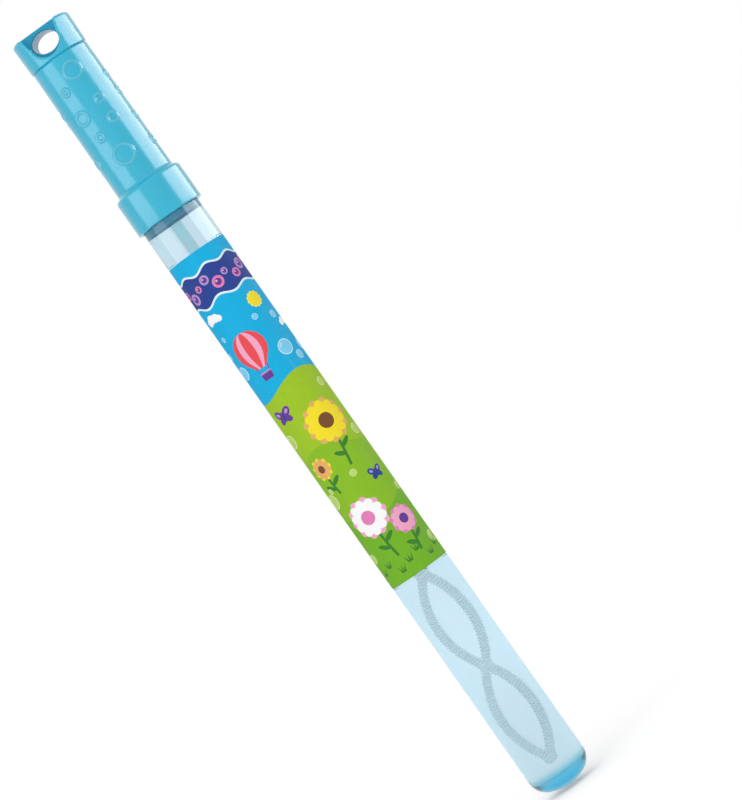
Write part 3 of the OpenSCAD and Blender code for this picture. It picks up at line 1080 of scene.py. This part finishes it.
def smooth_min(a: np.ndarray, b: np.ndarray, blend: float) -> np.ndarray:
    """Smaller of two distances, with the crease rounded over a blend."""
    return -smooth_max(-a, -b, blend)


def rounded(across: np.ndarray, along: np.ndarray, edge: float) -> np.ndarray:
    """Distance to a bar from its distances across and along, with its edges rounded."""
    a, b = across + edge, along + edge
    return np.hypot(np.maximum(a, 0), np.maximum(b, 0)) + np.minimum(np.maximum(a, b), 0) - edge


@dataclass
class Grip:
    """Handle that is also the screw cap: collar, grip with raised rings, block with a hang eye."""

    effects: Effects
    bottle: Bottle
    grip_low: float = 293.0
    grip_top: float = 351.8
    low_radius: float = 12.75
    top_radius: float = 12.5
    bore: float = 10.7
    bore_top: float = 349.4
    ceiling: float = 290.85
    collar_bore: float = 13.25
    cap_crest: float = 12.45
    cap_thread_start: float = 278.8
    bore_edge: float = 0.8
    collar_edge: float = 0.4
    foot_edge: float = 0.5
    bead_height: float = 296.8
    bead_half: float = 1.0
    bead_depth: float = 0.35
    ring_rise: float = 0.46
    side_rise: float = 0.3
    ring_line: float = 1.7
    ring_size: float = 10.0
    bend: float = 1.6
    crease: float = 0.4
    block_foot: float = 12.9
    block_top: float = 13.2
    block_round: float = 1.4
    block_edge: float = 0.3
    eye_width: float = 5.75
    eye_rise: float = 4.25
    eye_height: float = 359.4
    web: float = 14.0
    pocket_foot: float = 6.2
    pocket_top: float = 7.9
    pocket_blend: float = 0.6
    mouth_blend: float = 1.2
    eye_blend: float = 0.7
    # Strength of the painted shade in the eye's bore.
    bore_shade: float = 0.4
    cell: float = 0.3
    margin: float = 0.7
    segments: int = 400
    row: float = 0.2
    collar: float = field(init=False)
    foot: float = field(init=False)
    top: float = field(init=False)
    rings: Tuple[Tuple[float, float, float], ...] = (
        (0.04, 0.862, 0.85), (-0.057, 0.76, 0.42), (0.069, 0.606, 0.5), (-0.064, 0.552, 0.68),
        (0.071, 0.45, 0.54), (-0.041, 0.38, 0.46), (0.011, 0.2, 0.94), (0.217, 0.73, 0.5),
        (0.222, 0.59, 0.54), (0.217, 0.39, 0.5), (0.217, 0.187, 0.56), (-0.183, 0.65, 0.5),
        (-0.173, 0.25, 0.6))

    def __post_init__(self) -> None:
        """Take the main sizes from the frame."""
        low, high = (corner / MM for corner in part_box("handle"))
        self.foot, self.top, self.collar = low.z, high.z, high.x

    def plain_radius(self, heights: np.ndarray) -> np.ndarray:
        """Radius of the grip without its rings at heights."""
        share = (heights - self.grip_low) / (self.grip_top - self.grip_low)
        return self.low_radius + (self.top_radius - self.low_radius) * share

    def relief(self, heights: np.ndarray) -> np.ndarray:
        """How far the raised rings stand out of the grip.

        Args:
            heights: height of each row of points.

        Returns:
            One row of distances for each height.
        """
        turns = np.arange(self.segments) * TAU / self.segments
        up = heights[:, None]
        span = self.grip_top - self.grip_low
        radius = self.plain_radius(up)
        out = np.zeros((len(heights), self.segments))
        for turn, share, size in self.rings:
            for side in (0.0, 0.5):
                away = turns[None, :] - (turn + side) * TAU
                across = np.where(np.cos(away) > 0, radius * np.sin(away), 1e3)
                gap = np.hypot(across, up - self.grip_low - span * share)
                middle = self.ring_size * size / 2 - self.ring_line / 2 + 0.15
                off = np.clip(np.abs(gap - middle) / (self.ring_line / 2), 0, 1)
                rise = self.ring_rise if abs(turn) < 0.12 else self.side_rise
                out = np.maximum(out, rise * (0.5 + 0.5 * np.cos(math.pi * off)))
        return out

    def build_body(self) -> Shell:
        """Surface of the collar and the hollow grip, closed at its top inside the block."""
        bend = self.bend
        turn = math.degrees(math.acos(1 - (self.collar - self.low_radius) / (2 * bend)))
        level = self.grip_low - 2 * bend * math.sin(math.radians(turn))
        edge = self.foot_edge
        outside = arc((self.collar - edge, self.foot + edge), edge, -90, 0, 6)
        outside += arc((self.collar - bend, level), bend, 0, turn, 10)
        outside += arc((self.low_radius + bend, self.grip_low), bend, turn - 180, -178, 10)[1:]
        rows = np.arange(self.grip_low, self.grip_top + 1.5 * self.row, self.row)
        pinch = self.crease * np.clip(1 - np.abs(rows - self.grip_top + 0.15) / 0.55, 0, 1) ** 0.7
        grip = list(zip(self.plain_radius(rows) - pinch, rows))
        ease, bead, half = self.bore_edge, self.bead_height, self.bead_half
        inside = [(0.0, self.bore_top), (self.bore - ease, self.bore_top)]
        inside += [(self.bore, self.bore_top - ease)]
        inside += [(self.bore, bead + half), (self.bore + self.bead_depth, bead), (self.bore, bead - half)]
        inside += [(self.bore, self.ceiling + 0.2), (self.bore + 0.2, self.ceiling)]
        ease, wall = self.collar_edge, self.collar_bore
        inside += [(wall - ease, self.ceiling), (wall, self.ceiling - ease)]
        inside += [(wall, self.foot + ease), (wall + 0.3, self.foot)]
        profile = inside + outside + grip + [(0.0, rows[-1] + self.row)]
        relief = np.zeros((len(profile), self.segments))
        first = len(inside) + len(outside)
        relief[first:first + len(grip)] = self.relief(rows)
        return revolve(profile, self.segments, relief)

    def block_field(self, x: np.ndarray, y: np.ndarray, z: np.ndarray) -> np.ndarray:
        """Distance to the block with its pockets and its eye."""
        middle = (self.grip_top + self.top) / 2
        half = (self.top - self.grip_top) / 2
        edge = np.where(z > middle, self.block_round, self.block_edge)
        radius = self.block_foot + (self.block_top - self.block_foot) * (z - self.grip_top) / (2 * half)
        block = rounded(np.hypot(x, y) - radius, np.abs(z - middle) - half, edge)
        up = z - self.eye_height
        stretch = self.eye_width / self.eye_rise
        away = np.hypot(x, up * stretch)
        lean = (self.pocket_top - self.pocket_foot) / (self.top - self.eye_height)
        side = (np.abs(x) - self.pocket_foot - lean * up) / math.hypot(1, lean)
        outline = np.minimum(np.hypot(x, up) - self.pocket_foot, np.maximum(side, -up))
        pocket = smooth_max(outline, self.web / 2 - np.abs(y), self.pocket_blend)
        block = smooth_max(block, -pocket, self.mouth_blend)
        return smooth_max(block, (self.eye_width - away) / stretch, self.eye_blend)

    def build_block(self) -> Shell:
        """Surface of the block."""
        reach = self.block_top + self.margin
        low, high = (-reach, -reach, self.grip_top - self.margin), (reach, reach, self.top + self.margin)
        return skin(self.block_field, low, high, self.cell)

    def mark_tones(self, mesh: bpy.types.Mesh) -> None:
        """Write masks of painted shade round the eye and in its bore, and of painted highlights on the
        rings' tops, to the mesh.
        """
        x, y, z = coordinates(mesh).T
        side, wall = np.abs(y), self.web / 2
        # Painted shade on the web's faces deep in the pocket, and a weaker painted shade in the bore.
        pocket = (np.abs(x) < self.pocket_top + 0.6) & (z > self.eye_height - self.pocket_foot)
        inner = np.clip((wall + 1.4 - side) / 1.2, 0, 1)
        deep = pocket * inner * np.clip((side - wall + 0.7) / 0.5, 0, 1)
        away = np.hypot(x / self.eye_width, (z - self.eye_height) / self.eye_rise)
        bore = (away < 1.15) & (side < wall + 0.2)
        mark(mesh, "painted_shade", np.maximum(deep, bore * self.bore_shade))
        # Painted highlight on the rings, the more the higher they stand out of the grip.
        share = (z - self.grip_low) / (self.grip_top - self.grip_low)
        height = (np.hypot(x, y) - self.plain_radius(z) - 0.05) / self.ring_rise
        mark(mesh, "crests", np.clip(height, 0, 1) * (share > 0.02) * (share < 0.98))

    def even_block(self, mesh: bpy.types.Mesh) -> None:
        """Give the block's corners the normals of its exact form."""
        normals = np.array([n.vector[:] for n in mesh.corner_normals])
        owner = np.array([loop.vertex_index for loop in mesh.loops])
        points = coordinates(mesh)
        slope = gradient(self.block_field, points, 0.02)
        slope /= np.maximum(np.linalg.norm(slope, axis=1), 1e-9)[:, None]
        near = np.abs(self.block_field(*points.T)) < 0.05
        on_block = (near & (points[:, 2] > self.grip_top + self.block_edge))[owner]
        normals[on_block] = slope[owner][on_block]
        mesh.normals_split_custom_set(normals.tolist())

    def dress(self) -> None:
        """Put the handle in the scene."""
        # The handle's finish paints shade round the eye and highlights on the rings.
        blue = MouldedPlastic(
            "handle_blue", tint(12, 177, 208), smooth=0.2, rough=0.28, coat=0.5, ior=1.5, glow=0.1,
            grain_depth=0.012, painted_shade="painted_shade", crests="crests").material(self.effects)
        thread = thread_ridge(self.collar_bore + self.bottle.root, self.collar_bore, self.cap_crest,
                              self.cap_thread_start, self.bottle)
        mesh = fuse("grip_handle", [self.build_body(), self.build_block(), thread])
        handle = place("grip_handle", mesh, 35, blue)
        self.mark_tones(handle.data)
        self.even_block(handle.data)
        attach(handle, "grip")
        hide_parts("handle")


@dataclass
class WandUnit:
    """Stopper that stays in the cap, and the flat wand with its chain of loops."""

    effects: Effects
    loops: int = 5
    strand: float = 3.3
    thick: float = 2.8
    loop_width: float = 14.8
    chain_top: float = 234.7
    flange: float = 289.0
    stem_width: float = 3.6
    peg_radius: float = 2.48
    crossing: float = 2.2
    rib_pitch: float = 1.3
    rib_depth: float = 0.5
    edge: float = 0.6
    peg_edge: float = 0.4
    blend: float = 0.8
    cell: float = 0.22
    margin: float = 0.6
    low: float = field(init=False)
    high: float = field(init=False)
    pitch: float = field(init=False)
    bend: float = field(init=False)
    bend_x: float = field(init=False)

    def __post_init__(self) -> None:
        """Take the ends from the frame and work out the arcs of the loops."""
        low, high = (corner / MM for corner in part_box("wand"))
        self.low, self.high = low.z, high.z
        self.pitch = (self.chain_top - self.low - self.crossing) / self.loops
        bow = (self.loop_width - self.strand) / 2
        self.bend = ((self.pitch / 2) ** 2 + bow ** 2) / (2 * bow)
        self.bend_x = self.bend - bow

    def strands(self, x: np.ndarray, z: np.ndarray) -> Tuple[np.ndarray, np.ndarray]:
        """Distance to the middle line of the strands, and the way along them.

        Args:
            x: places across the wand.
            z: heights.

        Returns:
            The distance and the way along the nearest strand.
        """
        side = np.abs(x)
        index = np.clip(np.floor((self.chain_top - z) / self.pitch), 0, self.loops - 1)
        up = z - (self.chain_top - self.pitch * (index + 0.5))
        half = self.pitch / 2
        angle = np.arctan2(up, side + self.bend_x)
        limit = math.atan2(half, self.bend_x)
        gap = np.abs(np.hypot(side + self.bend_x, up) - self.bend)
        gap = np.where(np.abs(angle) > limit, np.hypot(side, np.abs(up) - half), gap)
        return gap, angle * self.bend

    def grooves(self, way: np.ndarray) -> np.ndarray:
        """Share of a groove's depth on the way along a strand."""
        return 0.5 - 0.5 * np.cos(way * TAU / self.rib_pitch)

    def wand_field(self, x: np.ndarray, y: np.ndarray, z: np.ndarray) -> np.ndarray:
        """Distance to the wand."""
        gap, way = self.strands(x, z)
        groove = self.rib_depth * self.grooves(way)
        flat = np.abs(y) - self.thick / 2
        wand = rounded(gap - self.strand / 2 + groove, flat + groove * 0.5, self.edge)
        level = (self.chain_top - z) / self.pitch
        nearest = self.chain_top - self.pitch * np.clip(np.round(level), 0, self.loops)
        knot = rounded(np.hypot(x, z - nearest) - self.crossing, flat, self.edge)
        wand = smooth_min(wand, knot, self.blend)
        share = np.clip((z - self.chain_top) / (self.flange - self.chain_top), 0, 1)
        half = self.strand / 2 + (self.stem_width - self.strand) / 2 * share
        ends = np.maximum(self.chain_top - z, z - self.flange - 0.2)
        stem = np.maximum(rounded(np.abs(x) - half, flat, self.edge), ends)
        middle, reach = (self.flange + self.high) / 2, (self.high - self.flange) / 2
        peg = rounded(np.hypot(x, y) - self.peg_radius, np.abs(z - middle) - reach, self.peg_edge)
        return np.minimum(smooth_min(wand, stem, self.blend), peg)

    def build_wand(self) -> bpy.types.Mesh:
        """Mesh of the wand."""
        reach = self.loop_width / 2 + 0.8
        deep = max(self.thick / 2, self.peg_radius) + self.margin
        low, high = (-reach, -deep, self.low - self.margin), (reach, deep, self.high + self.margin)
        mesh = skin(self.wand_field, low, high, self.cell).mesh("wand")
        x, _, z = coordinates(mesh).T
        # Mask of painted shade in the grooves of the loops, left off the stem.
        groove = self.grooves(self.strands(x, z)[1]) ** 2
        mark(mesh, "painted_groove_shade", groove * (z < self.chain_top - 2))
        return mesh

    def dress(self) -> None:
        """Put the wand in the scene and give the stopper its finish."""
        # The top of the stem carries painted refraction colour: a teal stands in for the cap's blue led
        # down the clear stem.
        milky = ClearBody(
            "milky_wand", (0.965, 0.99, 1.0, 1.0), smooth=0.02, rough=0.08, ior=1.26, through=0.87,
            painted_refraction=(0.61, 0.96, 0.99, 1.0), painted_refraction_low=0.235, painted_refraction_high=0.275,
            painted_groove_shade="painted_groove_shade", groove_shade_colour=(0.76, 0.88, 0.92, 1.0))
        wand = place("loop_wand", self.build_wand(), 50, milky.material(self.effects))
        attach(wand, "wand_unit")
        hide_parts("wand")
        blue = MouldedPlastic(
            "stopper_blue", tint(0, 212, 255), smooth=0.4, rough=0.55, coat=0.0, ior=1.35)
        refinish("stopper", blue.material(self.effects))


@dataclass
class SealRing:
    """Soft ring between the neck and the stopper."""

    effects: Effects

    def dress(self) -> None:
        """Give the ring its finish."""
        foam = MouldedPlastic(
            "soft_foam", tint(236, 238, 240), smooth=0.7, rough=0.9, grain=2600.0, grain_depth=0.5,
            coat=0.0, scuffs=0.0)
        refinish("seal_ring", foam.material(self.effects))


@dataclass(frozen=True)
class Panel:
    """Soft panel lamp that faces the axis of the tube."""

    name: str
    azimuth: float
    rise: float
    level: float
    width: float
    height: float
    watts: float
    reach: float
    gloss_only: bool

    def hang(self) -> None:
        """Hang the lamp at its turn from the front towards +X, tilted down by its rise from its level."""
        data = bpy.data.lights.new(self.name, "AREA")
        data.shape, data.size, data.size_y, data.energy = "RECTANGLE", self.width, self.height, self.watts
        turn, rise = math.radians(self.azimuth), math.radians(self.rise)
        out = Vector((math.sin(turn) * math.cos(rise), -math.cos(turn) * math.cos(rise), math.sin(rise)))
        lamp = bpy.data.objects.new(self.name, data)
        lamp.location = out * self.reach + Vector((0.0, 0.0, self.level))
        lamp.rotation_euler = out.to_track_quat("Z", "Y").to_euler()
        lamp.visible_transmission = lamp.visible_camera = False
        lamp.visible_diffuse, lamp.visible_glossy = not self.gloss_only, self.gloss_only
        bpy.context.scene.collection.objects.link(lamp)


@dataclass
class Studio:
    """Camera, soft lights, floor and surroundings."""

    target: Tuple[float, float] = (23.2, 169.8)
    distance: float = 1335.0
    lens: float = 151.35
    azimuth: float = 6.0
    rise: float = 0.0
    roll: float = 35.1
    room_light: float = 0.7
    floor_glow: Point = (0.28, 0.45)
    floor_reach: Point = (0.1, 0.9)
    floor_half: float = 6.0
    floor_level: float = -0.001
    panels: Tuple[Panel, ...] = (
        Panel("key_panel", -9.0, 30.0, 0.2, 1.2, 1.2, 5.9, 1.3, False),
        Panel("wide_panel", 98.5, 0.0, 0.39, 1.355, 0.34, 6.6, 0.95, True),
        Panel("narrow_panel", -49.0, 0.0, 0.39, 0.88, 0.34, 2.2, 0.95, True))

    def camera(self) -> None:
        """Place the camera, turned so that the tube leans in the picture."""
        data = bpy.data.cameras.new("camera")
        data.sensor_width, data.lens = 36.0, self.lens
        data.clip_start, data.clip_end = 0.05, 50.0
        turn, rise, roll = (math.radians(a) for a in (self.azimuth, self.rise, self.roll))
        level = Vector((math.cos(turn), math.sin(turn), 0.0))
        upright = Vector((0.0, 0.0, 1.0))
        back = Vector((math.sin(turn), -math.cos(turn), 0.0)) * math.cos(rise) + upright * math.sin(rise)
        right = (-back).cross(level * math.sin(roll) + upright * math.cos(roll)).normalized()
        up = back.cross(right)
        pose = Matrix((right, up, back)).transposed().to_4x4()
        aim = level * self.target[0] + upright * self.target[1]
        camera = bpy.data.objects.new("camera", data)
        camera.matrix_world = Matrix.Translation((aim + back * self.distance) * MM) @ pose
        bpy.context.scene.collection.objects.link(camera)
        bpy.context.scene.camera = camera

    @staticmethod
    def seen(graph: Graph) -> bpy.types.NodeSocket:
        """Mask of the rays that show the surroundings rather than light the object."""
        path = graph.node("ShaderNodeLightPath").outputs
        some = graph.value("MAXIMUM", path["Is Camera Ray"], path["Is Glossy Ray"])
        return graph.value("MAXIMUM", some, path["Is Transmission Ray"])

    def surroundings(self) -> None:
        """Make the world: soft light, and plain white where it shows."""
        world = bpy.data.worlds.new("white_room")
        world.use_nodes = True
        bpy.context.scene.world = world
        graph = Graph(world.node_tree)
        strength = graph.node("ShaderNodeMapRange", {
            "Value": self.seen(graph), "To Min": self.room_light, "To Max": 1.0})
        ground = world.node_tree.nodes["Background"]
        ground.inputs["Color"].default_value = (1.0, 1.0, 1.0, 1.0)
        graph.link(strength.outputs["Result"], ground.inputs["Strength"])

    def floor(self) -> None:
        """Lay a white floor that keeps the shadow of the object."""
        mesh = bpy.data.meshes.new("floor")
        half, level = self.floor_half, self.floor_level
        corners = [(x * half, y * half, level) for x, y in ((-1, -1), (1, -1), (1, 1), (-1, 1))]
        mesh.from_pydata(corners, [], [(0, 1, 2, 3)])
        floor = bpy.data.objects.new("floor", mesh)
        bpy.context.scene.collection.objects.link(floor)
        material, graph, shader, sink = new_material("white_floor")
        fill(shader, {"Base Color": (0.9, 0.9, 0.9, 1.0), "Roughness": 0.9, "Specular IOR Level": 0.1})
        away = graph.node("ShaderNodeVectorMath", {0: graph.where()}, operation="LENGTH").outputs["Value"]
        glow = graph.node("ShaderNodeMapRange", {
            "Value": away, "From Min": self.floor_reach[0], "From Max": self.floor_reach[1],
            "To Min": self.floor_glow[0], "To Max": self.floor_glow[1]})
        lit = graph.node("ShaderNodeEmission", {
            "Color": (1.0, 1.0, 1.0, 1.0), "Strength": glow.outputs["Result"]})
        both = graph.node("ShaderNodeAddShader", {0: shader.outputs["BSDF"], 1: lit.outputs["Emission"]})
        plain = graph.node("ShaderNodeMixShader", {
            0: self.seen(graph), 1: shader.outputs["BSDF"], 2: both.outputs[0]})
        graph.link(plain.outputs[0], sink.inputs["Surface"])
        mesh.materials.append(material)

    def build(self) -> None:
        """Set up the whole studio."""
        self.camera()
        self.surroundings()
        self.floor()
        for panel in self.panels:
            panel.hang()
        bpy.context.scene.view_settings.view_transform = "Standard"


def main() -> None:
    """Build the studio and every piece in order."""
    logging.basicConfig(level=logging.INFO, format="%(name)s %(message)s")
    effects = Effects()
    Studio().build()
    bottle = Bottle(effects)
    bottle.dress()
    SealRing(effects).dress()
    WandUnit(effects).dress()
    Grip(effects, bottle).dress()


if __name__ == "__main__":
    main()
